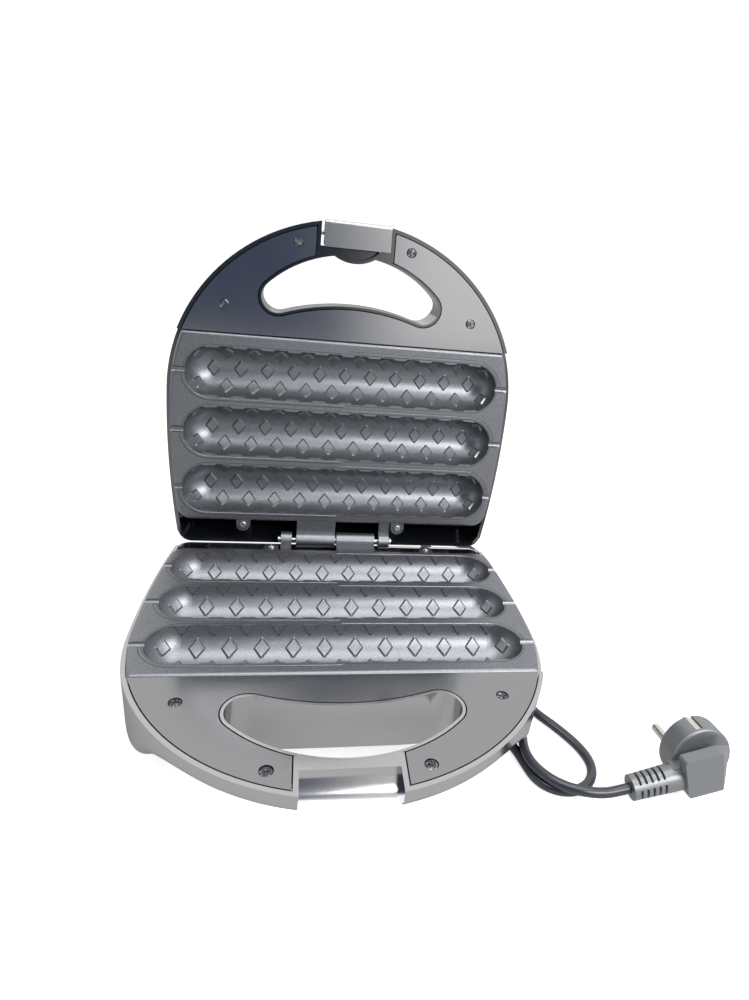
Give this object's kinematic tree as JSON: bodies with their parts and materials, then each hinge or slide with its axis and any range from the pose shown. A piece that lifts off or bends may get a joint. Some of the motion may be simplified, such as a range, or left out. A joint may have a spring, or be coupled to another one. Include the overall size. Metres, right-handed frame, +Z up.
{
  "type": "hot dog toaster",
  "caption": "Hinged countertop hot dog toaster with grooved non-stick plates in both halves, looped handles, a front latch, and a mains cord with plug.",
  "frame": {"origin": "centre of the toaster's box, lid open, on the surface it stands on", "axes": "+X to the right seen from the handles, +Y from the handles to the hinge, +Z up"},
  "size_m": [0.3282, 0.2997, 0.2667],
  "materials": {
    "gloss_black": "polished black moulding",
    "nonstick": "die-cast, dark grey speckled non-stick coating",
    "steel": "zinc-plated",
    "element_sheath": "heat-tinted sheath",
    "tray_metal": "bright rolled sheet",
    "ceramic_body": "unglazed switch and fuse bodies",
    "foot_rubber": "soft matt rubber",
    "cord_sheath": "smooth flexible sheath",
    "plug_moulding": "satin moulded-on plug",
    "plug_metal": "nickel-plated pins and contacts",
    "clamp_plastic": "natural nylon",
    "red_lens": "tinted translucent red",
    "green_lens": "tinted translucent green",
    "lamp_glass": "clear bulb"
  },
  "bodies": {
    "base": {"lower_shell": "gloss_black", "lower_handle_cover": "gloss_black", "lower_handle_screws": "steel", "lower_plate": "nonstick", "lower_plate_screws": "steel", "lower_heating_element": "element_sheath", "lower_reflector": "tray_metal", "lower_reflector_screws": "steel", "thermostat": "ceramic_body", "thermal_fuse": "ceramic_body", "hinge_pin": "steel", "feet": "foot_rubber", "cord_strain_relief": "cord_sheath", "cord_inner_end": "cord_sheath", "cord_clamp": "clamp_plastic", "cord_clamp_screws": "steel", "power_cord": "cord_sheath", "plug_body": "plug_moulding", "plug_pins": "plug_metal", "plug_earth_contacts": "plug_metal"},
    "lid": {"upper_shell": "gloss_black", "upper_handle_cover": "gloss_black", "upper_handle_screws": "steel", "upper_plate": "nonstick", "upper_plate_screws": "steel", "upper_heating_element": "element_sheath", "upper_reflector": "tray_metal", "upper_reflector_screws": "steel", "latch_pin": "steel", "power_lens": "red_lens", "ready_lens": "green_lens", "indicator_lamps": "lamp_glass"},
    "latch": {"latch": "gloss_black"}
  },
  "joints": [
    {"name": "lid_hinge", "type": "hinge", "parent": "base", "child": "lid", "pos_m": [0, 0.08129, 0.046], "axis": [1, 0, 0], "range_deg": [0, 96.4]},
    {"name": "latch_pivot", "type": "hinge", "parent": "lid", "child": "latch", "pos_m": [0, 0.11099, 0.257], "axis": [-1, 0, 0], "range_deg": [0, 35]}
  ]
}
